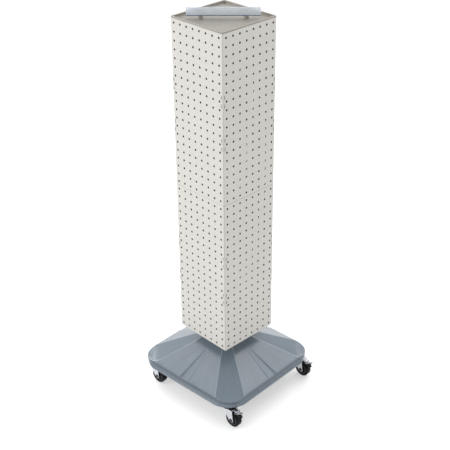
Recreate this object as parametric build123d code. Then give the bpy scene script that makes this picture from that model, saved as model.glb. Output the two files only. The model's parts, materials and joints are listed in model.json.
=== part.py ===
"""Four-sided revolving pegboard tower on a square pyramid base with four braked swivel casters.

Row frame: millimetres, +Z up, origin on the floor under the tower's turning axis. The tower's faces
square up with X and Y. The base under it is left turned by BASE_TURN, as a revolving display stands.
"""

import math
import os

from build123d import *

# ---------------------------------------------------------------- driving dimensions
# peg grid and moulded panels
PEG_PITCH = 25.4
PEG_COLUMNS = 8
PEG_ROWS = 20  # rows of holes in one panel
PEG_HOLE_R = 3.175
SIDE_MARGIN = 13.5  # from the outer column's centre to the tower's corner
PANEL_LEVELS = 2  # panels stacked one above another on each side
PANEL_T = 3.0
CORNER_R = 3.5  # soft vertical edge of the tower
MITRE_GAP = 0.15  # between a panel's end and the mitre plane
SEAM_GAP = 0.6  # between the panels of two levels
RIB_DEPTH = 6.0
RIB_T = 2.0

# snap slots and the corner clips whose tongues fill them
SLOT_W = 2.8
SLOT_H = 11.0
SLOT_FROM_EDGE = 6.0
SLOT_ROWS = ((7.5, 8.5), (12.5, 13.5))  # one clip covers each pair, counted in peg rows
CLIP_LEG = 7.0
CLIP_T = 2.2
CLIP_H = 44.0
TONGUE_GAP = 0.15
TONGUE_SINK = 0.4  # the tongue's end lies below the panel's face

# cap, foot and joiner inside the tower
INSIDE_GAP = 0.25  # between an inner moulding and the panels
CAP_RIM_H = 4.0
CAP_RIM_W = 5.0
CAP_RECESS = 8.0
CAP_FLOOR_T = 2.5
CAP_SKIRT_H = 9.0
SKIRT_T = 3.0
JOINER_H = 18.0
FOOT_SKIRT_H = 6.0
FOOT_RECESS = 3.0
FOOT_FLOOR_T = 3.0
PEDESTAL_MARGIN = 3.0  # beyond the turntable's edge
PEDESTAL_H = 25.6  # from the turntable up to the tray
PEDESTAL_T = 5.0

# clear sign holder on the cap's diagonal
HOLDER_L = 203.0
HOLDER_H = 22.5
HOLDER_WALL = 2.2
HOLDER_SLOT = 4.6
HOLDER_BOSS_R = 6.0
HOLDER_BOSS_X = 62.0
HOLDER_SCREW_R = 1.5

# base: skirt, flared lip and pyramid
BASE_TURN = 3.5  # degrees that the base stands turned under the tower
LIP_EDGE_H = 3.2
LIP_FLARE_H = 8.6
LIP_OUT = 6.35  # lip beyond the skirt
LIP_R = 76.0
SKIRT_HALF = 196.85
SKIRT_R = 51.0
SKIRT_H = 25.4  # from the lip's lower edge up to the crest
SIDE_SLOPE = 0.5435  # rise per millimetre inwards, on the four broad faces
FACET_SLOPE = 0.460  # the same on the four corner facets
FACET_CUT = 66.0  # where a corner facet's ridge meets the crest, from the sharp corner
TOE_SLOPE = 0.168  # gentler fall of a facet's rounded toe, outside the crest's chord
HUB_MARGIN = 12.0  # flat hub beyond the turntable's edge
SHELL_T = 3.0
CHANNEL_W = 42.0
CHANNEL_W_TOP = 10.0
CHANNEL_DEPTH = 1.6
CHANNEL_END = 84.0  # distance from the axis where the channel fades out
BOSS_R = 5.5
BOSS_ALONG = 70.0
BOSS_IN = 20.0  # boss centre inwards from the skirt's inner face

# board that closes the base, and the post under the hub
BOARD_T = 9.0
BOARD_GAP = 1.0
BOARD_R = 54.0
SOCKET_R = 8.5
SOCKET_UNDER = 3.0  # clear height between a socket and the shell above it
SOCKET_END_T = 3.0
POST_MARGIN = 1.0  # beyond the turntable's edge
POST_T = 12.0

# ball-bearing turntable
TABLE_HALF = 44.0
TABLE_T = 1.6
TABLE_SCREW_IN = 6.0  # screw holes inwards from the plate's edge
RACE_R = 29.0
RACE_HALF_W = 5.0
GROOVE_SINK = 0.32  # the ball groove's depth into the flat plate
BALL_R = 3.0
BALL_GAP = 0.12
BALL_COUNT = 20
PLATES_GAP = 0.8  # between the two race rings
RIVET_R = 6.0
RIVET_FLANGE_R = 9.0
RIVET_FLANGE_T = 1.2

# casters
STEM_IN_X = 33.85  # swivel axis inwards from the skirt
STEM_IN_Y = 26.85
STEM_R = 5.5
TRAIL = 22.9  # wheel centre from the swivel axis
WHEEL_R = 25.4
TYRE_W = 20.0
TYRE_EDGE_R = 3.0
CORE_R = 17.5
CORE_W = 19.0
AXLE_R = 4.0
AXLE_HEAD_R = 6.5
AXLE_HEAD_T = 2.5
FORK_GAP = 24.0  # between the fork's legs
FORK_T = 2.2
FORK_END_R = 8.0
CROWN_CLEAR = 9.2  # between the wheel's top and the crown
CROWN_T = 2.6
CROWN_FRONT = 17.0  # reach of the crown ahead of the swivel axis
CROWN_REAR = 26.0
LEG_FRONT = 9.0  # reach of a leg's upper edge ahead of the swivel axis
COVER_H = 6.95
COVER_R = 19.0
COVER_EDGE = 1.5
SWIVEL_GAP = 0.3
KINGPIN_R = 5.0
KINGPIN_HEAD_R = 8.0
KINGPIN_HEAD_T = 2.2

# brake on each caster: two lugs on the crown's tongue, a pedal and a rubber shoe
BRAKE_PIN_BEHIND = 13.1  # from the wheel's centre
BRAKE_PIN_DROP = 4.0  # below the crown
BRAKE_PIN_R = 2.0
BRAKE_EYE_R = 3.6
LUG_R = 4.2
LUG_T = 1.6
LUG_GAP = 10.0  # between the two lugs
BRAKE_SIDE_GAP = 0.5
BRAKE_T = 2.2
BRAKE_TIP_OUT = 25.5  # places along the pedal, outwards and up from its pin
BRAKE_TIP_UP = 9.5
BRAKE_KNEE_OUT = 11.0
PAD_ANGLE = 40.0  # place of the shoe's face round the wheel, above the level
PAD_L = 11.0
PAD_CLEAR = 3.6  # between shoe and tyre with the brake off
SHOE_T = 4.4
SHOE_W = 17.0
SHOE_TIP_OUT = 16.0
SHOE_TIP_UP = 1.0

# fits and fasteners
RUN_FIT = 0.05
SCREW_R = 1.6
SCREW_HOLE_R = 1.8
HEAD_R = 3.4
HEAD_T = 1.8

# ---------------------------------------------------------------- sizes worked out from them
TOWER_HALF = (PEG_COLUMNS - 1) * PEG_PITCH / 2 + SIDE_MARGIN
PANEL_STEP = PEG_ROWS * PEG_PITCH
PANEL_H = PANEL_STEP - SEAM_GAP
INSIDE_HALF = TOWER_HALF - PANEL_T - INSIDE_GAP
CROWN_Z = 2 * WHEEL_R + CROWN_CLEAR
COVER_Z = CROWN_Z + CROWN_T
COVER_TOP = COVER_Z + COVER_H
LIP_Z = COVER_TOP + SWIVEL_GAP
LIP_HALF = SKIRT_HALF + LIP_OUT
CREST_Z = LIP_Z + SKIRT_H
HUB_HALF = TABLE_HALF + HUB_MARGIN
HUB_Z = CREST_Z + (SKIRT_HALF - HUB_HALF) * SIDE_SLOPE
FLARE_Z = LIP_Z + LIP_EDGE_H
FLARE_TOP = FLARE_Z + LIP_FLARE_H
BOARD_TOP = LIP_Z + BOARD_T
RACE_H = BALL_R + BALL_GAP - PLATES_GAP / 2 - GROOVE_SINK
RACE_Z = HUB_Z + TABLE_T + RACE_H + PLATES_GAP / 2
TABLE_TOP = RACE_Z + PLATES_GAP / 2 + RACE_H + TABLE_T
TABLE_SCREW_AT = TABLE_HALF - TABLE_SCREW_IN
PEDESTAL_HALF = TABLE_HALF + PEDESTAL_MARGIN
POST_HALF = TABLE_HALF + POST_MARGIN
TOWER_FLOOR = TABLE_TOP + PEDESTAL_H - FOOT_RECESS
TOWER_TOP = TOWER_FLOOR + PANEL_LEVELS * PANEL_STEP
CAP_TOP = TOWER_TOP + CAP_RIM_H
CAP_FLOOR = CAP_TOP - CAP_RECESS
PEDAL_W = LUG_GAP - 2 * BRAKE_SIDE_GAP
BRAKE_PIN_X = TRAIL + BRAKE_PIN_BEHIND
BRAKE_PIN_Z = CROWN_Z - BRAKE_PIN_DROP
STEM_X = SKIRT_HALF - STEM_IN_X
STEM_Y = SKIRT_HALF - STEM_IN_Y
SOCKET_TOP = CREST_Z - SHELL_T - SOCKET_UNDER
STEM_TOP = SOCKET_TOP - SOCKET_END_T

CASTERS = {"front": (1, -1), "left": (-1, -1), "right": (1, 1), "back": (-1, 1)}
SIDES = {"front": 0, "right": 90, "back": 180, "left": 270}


# ---------------------------------------------------------------- small makers
def prism(outline, low, high):
    """The flat outline drawn out from height low to height high."""
    return extrude(Pos(0, 0, low) * outline, high - low)


def square(half, radius=0.0):
    """A square outline centred on the axis, with rounded corners if a radius is given."""
    return RectangleRounded(2 * half, 2 * half, radius) if radius > 0 else Rectangle(2 * half, 2 * half)


def rod(x, y, low, high, radius):
    """An upright round bar."""
    return Pos(x, y, low) * Cylinder(radius, high - low, align=(Align.CENTER, Align.CENTER, Align.MIN))


def cross_rod(x, z, y0, y1, radius):
    """A round bar along Y."""
    bar = Cylinder(radius, y1 - y0, align=(Align.CENTER, Align.CENTER, Align.MIN))
    return Pos(x, y0, z) * Rot(-90, 0, 0) * bar


def around(angle, x, y, z=0.0):
    """A point or a direction carried round the axis."""
    return Vector(x, y, z).rotate(Axis.Z, angle)


def corners(at):
    """The four points of a square pattern."""
    return [(sx * at, sy * at) for sx in (-1, 1) for sy in (-1, 1)]


def merged(shapes):
    """Separate solids kept together as one group."""
    return Compound(children=[solid for shape in shapes for solid in shape.solids()])


def save(name, shape):
    """Writes one sub-part."""
    export_step(shape, f"parts/{name}.step")


# ---------------------------------------------------------------- tower panels
def peg_places():
    """Column and row places of a panel's peg holes, from its centre."""
    for i in range(PEG_COLUMNS):
        for j in range(PEG_ROWS):
            yield (i - (PEG_COLUMNS - 1) / 2) * PEG_PITCH, (j - (PEG_ROWS - 1) / 2) * PEG_PITCH


def row_height(row):
    """Height of a peg row above the panel's centre; rows count from 1 at the bottom."""
    return (row - (PEG_ROWS + 1) / 2) * PEG_PITCH


def panel():
    """One moulded panel with its face on -Y and its centre at the middle of the tower's side."""
    ring = square(TOWER_HALF, CORNER_R) - square(TOWER_HALF - PANEL_T)
    reach = 2 * TOWER_HALF
    wedge = Pos(0, -MITRE_GAP * math.sqrt(2)) * make_face(
        Polyline((0, 0), (reach, -reach), (-reach, -reach), close=True)
    )
    body = prism(ring & wedge, -PANEL_H / 2, PANEL_H / 2)

    rib_half = PANEL_STEP / 2 - PEG_PITCH
    rib_x = (PEG_COLUMNS / 2 - 1) * PEG_PITCH
    back = -TOWER_HALF + PANEL_T
    for sx in (-1, 1):
        body += Pos(sx * rib_x, back + RIB_DEPTH / 2, 0) * Box(RIB_T, RIB_DEPTH, 2 * rib_half)
    for sz in (-1, 1):
        bar = Box(2 * rib_x + RIB_T, RIB_DEPTH, RIB_T)
        body += Pos(0, back + RIB_DEPTH / 2, sz * rib_half) * bar

    face = Plane(origin=(0, -TOWER_HALF, 0), x_dir=(1, 0, 0), z_dir=(0, -1, 0))
    holes = Sketch() + [Pos(x, z) * Circle(PEG_HOLE_R) for x, z in peg_places()]
    slots = [
        Pos(sx * (TOWER_HALF - SLOT_FROM_EDGE), row_height(row)) * Rectangle(SLOT_W, SLOT_H)
        for sx in (-1, 1)
        for pair in SLOT_ROWS
        for row in pair
    ]
    cutters = extrude(face * (holes + slots), -PANEL_T)
    return body - cutters


def corner_clip():
    """One L-shaped clip in the corner at -X -Y, with two snap tongues through each panel."""
    inner = TOWER_HALF - PANEL_T
    leg = Pos(-inner + CLIP_LEG / 2, -inner + CLIP_T / 2, 0) * Box(CLIP_LEG, CLIP_T, CLIP_H)
    tongue_l = CLIP_T + PANEL_T - TONGUE_SINK
    tongue_y = -TOWER_HALF + TONGUE_SINK + tongue_l / 2
    tongue = Box(SLOT_W - 2 * TONGUE_GAP, tongue_l, SLOT_H - 2 * TONGUE_GAP)
    for sz in (-1, 1):
        leg += Pos(-TOWER_HALF + SLOT_FROM_EDGE, tongue_y, sz * PEG_PITCH / 2) * tongue
    return leg + mirror(leg, about=Plane(origin=(0, 0, 0), z_dir=(1, -1, 0)))


def level_centre(level):
    """Height of the middle of a level of panels."""
    return TOWER_FLOOR + (level + 0.5) * PANEL_STEP


def build_panels():
    """Eight panels, and the clips that hold each level's four corners."""
    one = panel()
    clip = corner_clip()
    for level, word in enumerate(("lower", "upper")):
        for side, angle in SIDES.items():
            save(f"panel_{side}_{word}", Rot(0, 0, angle) * Pos(0, 0, level_centre(level)) * one)
        clips = [
            Rot(0, 0, angle) * Pos(0, 0, level_centre(level) + row_height(sum(pair) / 2)) * clip
            for angle in SIDES.values()
            for pair in SLOT_ROWS
        ]
        save(f"corner_clips_{word}", merged(clips))


# ---------------------------------------------------------------- tower's inner mouldings
def build_joiner():
    """The square sleeve that lines the two levels up at the seam."""
    middle = TOWER_FLOOR + PANEL_STEP
    ring = square(INSIDE_HALF) - square(INSIDE_HALF - SKIRT_T)
    save("joiner_sleeve", prism(ring, middle - JOINER_H / 2, middle + JOINER_H / 2))


def build_cap():
    """The top cap: a rim on the panels' upper edges, a recessed floor, and a skirt inside them."""
    rim = prism(square(TOWER_HALF, CORNER_R), TOWER_TOP, CAP_TOP)
    rim = fillet(rim.faces().sort_by(Axis.Z)[-1].edges(), 1.2)
    skirt = prism(square(INSIDE_HALF), TOWER_TOP - CAP_SKIRT_H, TOWER_TOP)
    cap = rim + skirt
    cap -= prism(square(TOWER_HALF - CAP_RIM_W, 2.0), CAP_FLOOR, CAP_TOP)
    cap -= prism(square(INSIDE_HALF - SKIRT_T), TOWER_TOP - CAP_SKIRT_H, CAP_FLOOR - CAP_FLOOR_T)
    for x in (-HOLDER_BOSS_X, HOLDER_BOSS_X):
        cap += Rot(0, 0, 45) * rod(x, 0, CAP_FLOOR - CAP_FLOOR_T, CAP_TOP, HOLDER_BOSS_R)
        cap -= Rot(0, 0, 45) * rod(x, 0, CAP_FLOOR - CAP_FLOOR_T, CAP_TOP, SCREW_HOLE_R)
    save("top_cap", cap)


def build_sign_holder():
    """The clear U-shaped channel on the cap's diagonal, and its two screws."""
    width = HOLDER_SLOT + 2 * HOLDER_WALL
    base = Align.MIN
    channel = Box(HOLDER_L, width, HOLDER_H, align=(Align.CENTER, Align.CENTER, base))
    channel -= Pos(0, 0, HOLDER_WALL) * Box(
        HOLDER_L, HOLDER_SLOT, HOLDER_H, align=(Align.CENTER, Align.CENTER, base)
    )
    for x in (-HOLDER_BOSS_X, HOLDER_BOSS_X):
        channel -= rod(x, 0, 0, HOLDER_WALL, SCREW_HOLE_R)
    save("sign_holder", Rot(0, 0, 45) * Pos(0, 0, CAP_TOP) * channel)
    head_r = HOLDER_SLOT / 2 - 2 * TONGUE_GAP
    screws = [
        rod(x, 0, CAP_FLOOR, CAP_TOP + HOLDER_WALL, HOLDER_SCREW_R)
        + rod(x, 0, CAP_TOP + HOLDER_WALL, CAP_TOP + HOLDER_WALL + HEAD_T, head_r)
        for x in (-HOLDER_BOSS_X, HOLDER_BOSS_X)
    ]
    save("sign_holder_screws", merged([Rot(0, 0, 45) * screw for screw in screws]))


def build_foot():
    """The tray that closes the tower's lower end and stands on the turntable."""
    floor_low = TOWER_FLOOR + FOOT_RECESS
    floor_high = floor_low + FOOT_FLOOR_T
    tray = prism(square(INSIDE_HALF), floor_low, floor_low + FOOT_SKIRT_H)
    tray -= prism(square(INSIDE_HALF - SKIRT_T), floor_high, floor_low + FOOT_SKIRT_H)
    pedestal = prism(square(PEDESTAL_HALF, 6.0), TABLE_TOP, floor_low)
    hollow_low = TABLE_TOP + PEDESTAL_T
    tray += pedestal
    tray -= prism(square(PEDESTAL_HALF - PEDESTAL_T, 2.0), hollow_low, floor_high)
    tray -= rod(0, 0, TABLE_TOP, hollow_low, RIVET_FLANGE_R + 1.0)
    for x, y in corners(TABLE_SCREW_AT):
        tray -= rod(x, y, TABLE_TOP, hollow_low, SCREW_HOLE_R)
    save("tower_foot", tray)


# ---------------------------------------------------------------- turntable
def race_plate():
    """A square turntable plate with its race ring on top, lying on the hub."""
    plate = prism(square(TABLE_HALF, 4.0), HUB_Z, HUB_Z + TABLE_T)
    ring = Circle(RACE_R + RACE_HALF_W) - Circle(RACE_R - RACE_HALF_W)
    plate += prism(ring, HUB_Z + TABLE_T, HUB_Z + TABLE_T + RACE_H)
    plate -= Pos(0, 0, RACE_Z) * Torus(RACE_R, BALL_R + BALL_GAP)
    for x, y in corners(TABLE_SCREW_AT):
        plate -= rod(x, y, HUB_Z, HUB_Z + TABLE_T, SCREW_HOLE_R)
    return plate


def turned(shape):
    """A piece of the base, turned with it under the tower."""
    return Rot(0, 0, BASE_TURN) * shape


def build_turntable():
    """Lower plate on the base, upper plate under the tower, the balls and the hollow rivet between them."""
    lower = race_plate()
    upper = mirror(lower, about=Plane(origin=(0, 0, RACE_Z), z_dir=(0, 0, 1)))
    lower -= rod(0, 0, HUB_Z, HUB_Z + TABLE_T, RIVET_R)
    upper -= rod(0, 0, TABLE_TOP - TABLE_T, TABLE_TOP, RIVET_R + RUN_FIT)
    save("turntable_lower_plate", turned(lower))
    save("turntable_upper_plate", upper)
    balls = [
        Rot(0, 0, 360 * i / BALL_COUNT) * Pos(RACE_R, 0, RACE_Z) * Sphere(BALL_R) for i in range(BALL_COUNT)
    ]
    save("turntable_balls", merged([turned(ball) for ball in balls]))
    flange_low = TABLE_TOP + SWIVEL_GAP
    rivet = rod(0, 0, HUB_Z, flange_low + RIVET_FLANGE_T, RIVET_R)
    rivet += rod(0, 0, flange_low, flange_low + RIVET_FLANGE_T, RIVET_FLANGE_R)
    rivet += rod(0, 0, HUB_Z + TABLE_T, HUB_Z + TABLE_T + RIVET_FLANGE_T, RIVET_FLANGE_R)
    rivet -= rod(0, 0, HUB_Z, flange_low + RIVET_FLANGE_T, RIVET_R / 2)
    save("turntable_rivet", rivet)
    down = [
        rod(x, y, HUB_Z - SHELL_T - 2 * PEDESTAL_T, HUB_Z + TABLE_T, SCREW_R)
        + rod(x, y, HUB_Z + TABLE_T, HUB_Z + TABLE_T + HEAD_T, HEAD_R)
        for x, y in corners(TABLE_SCREW_AT)
    ]
    save("turntable_base_screws", merged([turned(screw) for screw in down]))
    up = [
        rod(x, y, TABLE_TOP - TABLE_T, TABLE_TOP + PEDESTAL_T, SCREW_R)
        + rod(x, y, TABLE_TOP + PEDESTAL_T, TABLE_TOP + PEDESTAL_T + HEAD_T, HEAD_R)
        for x, y in corners(TABLE_SCREW_AT)
    ]
    save("turntable_tower_screws", merged(up))


# ---------------------------------------------------------------- base
def sloped_off(form, angle, reach, height, slope):
    """The form below a plane that meets the given height at reach, and rises inwards by slope."""
    plane = Plane(origin=around(angle, 0, -reach, height), z_dir=around(angle, 0, -slope, 1))
    return split(form, bisect_by=plane, keep=Keep.BOTTOM)


def base_form(inset, top):
    """The base's solid form up to height top, taken in by inset on every face."""
    half = SKIRT_HALF - inset
    form = prism(square(half, SKIRT_R - inset), FLARE_TOP, top)
    toes = prism(square(half, SKIRT_R - inset), FLARE_TOP, CREST_Z - inset)
    chord = (2 * SKIRT_HALF - FACET_CUT) / math.sqrt(2)
    side_z = CREST_Z - inset * math.hypot(1, SIDE_SLOPE)
    facet_z = CREST_Z - inset * math.hypot(1, FACET_SLOPE)
    for angle in range(0, 360, 90):
        form = sloped_off(form, angle, SKIRT_HALF, side_z, SIDE_SLOPE)
        form = sloped_off(form, angle + 45, chord, facet_z, FACET_SLOPE)
        toes = sloped_off(toes, angle + 45, chord, CREST_Z - inset, TOE_SLOPE)
    edge = square(LIP_HALF - inset, LIP_R - inset)
    flare = loft([Pos(0, 0, FLARE_Z) * edge, Pos(0, 0, FLARE_TOP) * square(half, SKIRT_R - inset)])
    return form + toes + flare + prism(edge, LIP_Z, FLARE_Z)


def channel_cutter():
    """A shallow tapering channel down the middle of the broad face on -Y."""
    low, high = -SKIRT_HALF - 1.0, -CHANNEL_END
    outline = make_face(
        Polyline(
            (-CHANNEL_W / 2, low), (CHANNEL_W / 2, low), (CHANNEL_W_TOP / 2, high),
            (-CHANNEL_W_TOP / 2, high), close=True,
        )
    )
    block = prism(outline, LIP_Z, HUB_Z)
    run = SKIRT_HALF - CHANNEL_END
    slope = (run * SIDE_SLOPE + CHANNEL_DEPTH) / run
    fade_z = CREST_Z + run * SIDE_SLOPE
    floor = Plane(origin=(0, -CHANNEL_END, fade_z), z_dir=(0, -slope, 1))
    return split(block, bisect_by=floor, keep=Keep.TOP)


def boss_places():
    """Places of the eight screw bosses under the broad faces."""
    across = SKIRT_HALF - SHELL_T - BOSS_IN
    for angle in range(0, 360, 90):
        for x in (-BOSS_ALONG, BOSS_ALONG):
            spot = around(angle, x, -across)
            yield spot.X, spot.Y


def build_base_shell():
    """The moulded shell: lip, skirt, four broad faces with channels, four corner facets and the hub."""
    outer = base_form(0.0, HUB_Z)
    inner = base_form(SHELL_T, HUB_Z - SHELL_T)
    for angle in range(0, 360, 90):
        outer -= Rot(0, 0, angle) * channel_cutter()
    mid_wall = base_form(SHELL_T / 2, HUB_Z - SHELL_T / 2)
    posts = [rod(x, y, BOARD_TOP, HUB_Z, BOSS_R) & mid_wall for x, y in boss_places()]
    shell = outer - inner + posts
    for x, y in boss_places():
        shell -= rod(x, y, BOARD_TOP, CREST_Z, SCREW_HOLE_R)
    for x, y in corners(TABLE_SCREW_AT):
        shell -= rod(x, y, HUB_Z - SHELL_T, HUB_Z, SCREW_HOLE_R)
    save("base_shell", turned(shell))


def caster_places():
    """Name and swivel-axis place of each caster, before the base is turned."""
    for name, (sx, sy) in CASTERS.items():
        yield name, sx * STEM_X, sy * STEM_Y


def build_board():
    """The board that closes the base, its screws, the casters' sockets, and the post under the hub."""
    board = prism(square(SKIRT_HALF - SHELL_T - BOARD_GAP, BOARD_R), LIP_Z, BOARD_TOP)
    for x, y in boss_places():
        board -= rod(x, y, LIP_Z, BOARD_TOP, SCREW_HOLE_R)
    for _, x, y in caster_places():
        board -= rod(x, y, LIP_Z, BOARD_TOP, SOCKET_R)
    save("base_board", turned(board))
    screws = [
        rod(x, y, LIP_Z, BOARD_TOP + BOARD_T, SCREW_R) + rod(x, y, LIP_Z - HEAD_T, LIP_Z, HEAD_R)
        for x, y in boss_places()
    ]
    save("board_screws", merged([turned(screw) for screw in screws]))
    sockets = [
        rod(x, y, LIP_Z, SOCKET_TOP, SOCKET_R) - rod(x, y, LIP_Z, STEM_TOP, STEM_R)
        for _, x, y in caster_places()
    ]
    save("stem_sockets", merged([turned(socket) for socket in sockets]))
    post = prism(square(POST_HALF, 6.0) - square(POST_HALF - POST_T, 3.0), BOARD_TOP, HUB_Z - SHELL_T)
    for x, y in corners(TABLE_SCREW_AT):
        post -= rod(x, y, HUB_Z - SHELL_T - 2 * PEDESTAL_T, HUB_Z - SHELL_T, SCREW_HOLE_R)
    save("hub_post", turned(post))


# ---------------------------------------------------------------- casters, about their own swivel axis
def stem():
    """The steel stem: its shank in the socket, the journal that the fork turns on, and its riveted head."""
    head_top = CROWN_Z - SWIVEL_GAP
    pin = rod(0, 0, head_top, LIP_Z, KINGPIN_R) + rod(0, 0, LIP_Z, STEM_TOP, STEM_R)
    return pin + rod(0, 0, head_top - KINGPIN_HEAD_T, head_top, KINGPIN_HEAD_R)


def swivel_cover():
    """The black ring that hides the fork's ball race."""
    cover = rod(0, 0, COVER_Z, COVER_TOP, COVER_R)
    cover = chamfer(cover.faces().sort_by(Axis.Z)[0].edges(), COVER_EDGE)
    return cover - rod(0, 0, COVER_Z, COVER_TOP, KINGPIN_R + RUN_FIT)


def side_plane(y):
    """The upright plane across Y on which a caster's side outlines lie; it looks towards -Y."""
    return Plane(origin=(0, y, 0), x_dir=(1, 0, 0), z_dir=(0, -1, 0))


def fork():
    """Pressed-steel fork: a crown plate, two tapered legs, and a tongue with two lugs for the brake."""
    width = FORK_GAP + 2 * FORK_T
    crown_x = (CROWN_REAR - CROWN_FRONT) / 2
    crown_z = CROWN_Z + CROWN_T / 2
    body = Pos(crown_x, 0, crown_z) * Box(CROWN_FRONT + CROWN_REAR, width, CROWN_T)
    body = fillet(body.edges().filter_by(Axis.Z).group_by(Axis.X)[0], CROWN_FRONT / 2)
    leg_x = (CROWN_REAR - LEG_FRONT) / 2
    leg = Sketch() + [
        Pos(TRAIL, WHEEL_R) * Circle(FORK_END_R),
        Pos(leg_x, crown_z) * Rectangle(CROWN_REAR + LEG_FRONT, CROWN_T),
    ]
    leg = make_hull(leg.edges()) - Pos(TRAIL, WHEEL_R) * Circle(AXLE_R)
    for y in (-FORK_GAP / 2, width / 2):
        body += extrude(side_plane(y) * leg, FORK_T)
    tongue_l = BRAKE_PIN_X + LUG_R - CROWN_REAR
    tongue = Box(tongue_l, LUG_GAP + 2 * LUG_T, CROWN_T)
    body += Pos(CROWN_REAR + tongue_l / 2, 0, crown_z) * tongue
    lug = Sketch() + [
        Pos(BRAKE_PIN_X, BRAKE_PIN_Z) * Circle(LUG_R),
        Pos(BRAKE_PIN_X, crown_z) * Rectangle(2 * LUG_R, CROWN_T),
    ]
    lug = make_hull(lug.edges()) - Pos(BRAKE_PIN_X, BRAKE_PIN_Z) * Circle(BRAKE_PIN_R)
    for y in (-LUG_GAP / 2, LUG_GAP / 2 + LUG_T):
        body += extrude(side_plane(y) * lug, LUG_T)
    return body - rod(0, 0, CROWN_Z, CROWN_Z + CROWN_T, KINGPIN_R + RUN_FIT)


def axle():
    """Bolt with a domed head on one side and a nut on the other, and the brake's pin."""
    outside = FORK_GAP / 2 + FORK_T
    bolt = cross_rod(TRAIL, WHEEL_R, -outside, outside, AXLE_R)
    bolt += cross_rod(TRAIL, WHEEL_R, -outside - AXLE_HEAD_T, -outside, AXLE_HEAD_R)
    bolt += cross_rod(TRAIL, WHEEL_R, outside, outside + 2 * AXLE_HEAD_T, AXLE_R)
    nut_plane = Plane(origin=(TRAIL, outside, WHEEL_R), x_dir=(1, 0, 0), z_dir=(0, 1, 0))
    nut_outline = RegularPolygon(AXLE_HEAD_R, 6) - Circle(AXLE_R)
    nut = extrude(nut_plane * nut_outline, AXLE_HEAD_T)
    lugs = LUG_GAP / 2 + LUG_T
    pin = cross_rod(BRAKE_PIN_X, BRAKE_PIN_Z, -lugs, lugs, BRAKE_PIN_R)
    return [bolt, nut, pin]


def wheel_core():
    """The wheel's hard core with its bore."""
    core = cross_rod(TRAIL, WHEEL_R, -CORE_W / 2, CORE_W / 2, CORE_R)
    recess = (CORE_W - FORK_T) / 2
    for y0, y1 in ((-CORE_W / 2, -recess), (recess, CORE_W / 2)):
        core -= cross_rod(TRAIL, WHEEL_R, y0, y1, CORE_R - FORK_T) - cross_rod(
            TRAIL, WHEEL_R, y0, y1, AXLE_HEAD_R
        )
    return core - cross_rod(TRAIL, WHEEL_R, -CORE_W / 2, CORE_W / 2, AXLE_R + RUN_FIT)


def tyre():
    """The soft tread round the core."""
    ring = cross_rod(TRAIL, WHEEL_R, -TYRE_W / 2, TYRE_W / 2, WHEEL_R)
    ring = fillet(ring.edges(), TYRE_EDGE_R)
    return ring - cross_rod(TRAIL, WHEEL_R, -TYRE_W / 2, TYRE_W / 2, CORE_R)


def bar_outline(x0, z0, x1, z1, thickness):
    """A round-ended strip between two points, seen from the side."""
    length = math.hypot(x1 - x0, z1 - z0)
    angle = math.degrees(math.atan2(z1 - z0, x1 - x0))
    strip = SlotCenterToCenter(length, thickness)
    return Pos((x0 + x1) / 2, (z0 + z1) / 2) * Rot(0, 0, angle) * strip


def pad_place():
    """Middle of the shoe's thickness where it faces the tyre."""
    reach = WHEEL_R + PAD_CLEAR + SHOE_T / 2
    turn = math.radians(PAD_ANGLE)
    return TRAIL + reach * math.cos(turn), WHEEL_R + reach * math.sin(turn)


def pedal_profile():
    """Side view of the pedal: an eye on the pin, a limb into the shoe, and a strip that rises outwards."""
    pad_x, pad_z = pad_place()
    roof = BRAKE_PIN_Z + BRAKE_EYE_R - BRAKE_T / 2
    knee, tip = BRAKE_PIN_X + BRAKE_KNEE_OUT, BRAKE_PIN_X + BRAKE_TIP_OUT
    return Sketch() + [
        Pos(BRAKE_PIN_X, BRAKE_PIN_Z) * Circle(BRAKE_EYE_R),
        bar_outline(BRAKE_PIN_X + BRAKE_EYE_R / 2, BRAKE_PIN_Z, pad_x, pad_z, BRAKE_T),
        bar_outline(BRAKE_PIN_X, roof, knee, roof, BRAKE_T),
        bar_outline(knee, roof, tip, BRAKE_PIN_Z + BRAKE_TIP_UP, BRAKE_T),
    ]


def brake_pedal():
    """The pressed-steel foot pedal on its pin."""
    profile = pedal_profile() - Pos(BRAKE_PIN_X, BRAKE_PIN_Z) * Circle(BRAKE_PIN_R + RUN_FIT)
    return extrude(side_plane(PEDAL_W / 2) * profile, PEDAL_W)


def brake_shoe():
    """The rubber shoe moulded round the pedal's limb, facing the tyre."""
    pad_x, pad_z = pad_place()
    turn = math.radians(PAD_ANGLE)
    along_x, along_z = math.sin(turn) * PAD_L / 2, -math.cos(turn) * PAD_L / 2
    profile = Sketch() + [
        bar_outline(pad_x - along_x, pad_z - along_z, pad_x + along_x, pad_z + along_z, SHOE_T),
        bar_outline(pad_x, pad_z, BRAKE_PIN_X + SHOE_TIP_OUT, BRAKE_PIN_Z + SHOE_TIP_UP, SHOE_T),
    ]
    block = extrude(side_plane(SHOE_W / 2) * profile, SHOE_W)
    return block - extrude(side_plane(PEDAL_W / 2) * pedal_profile(), PEDAL_W)


def build_casters():
    """Four casters, each with its pieces about its own swivel axis."""
    pieces = {
        "stem": [stem()],
        "cover": [swivel_cover()],
        "fork": [fork()],
        "axle": axle(),
        "core": [wheel_core()],
        "tyre": [tyre()],
        "brake_pedal": [brake_pedal()],
        "brake_shoe": [brake_shoe()],
    }
    for name, x, y in caster_places():
        for piece, shapes in pieces.items():
            save(f"caster_{name}_{piece}", merged([turned(Pos(x, y, 0) * shape) for shape in shapes]))


os.makedirs("parts", exist_ok=True)
build_panels()
build_joiner()
build_cap()
build_sign_holder()
build_foot()
build_turntable()
build_base_shell()
build_board()
build_casters()
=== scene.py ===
"""Looks of a four-sided revolving pegboard tower on a pyramid base with four braked casters.
Metres, with +Z up."""
import json
import math

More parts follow.
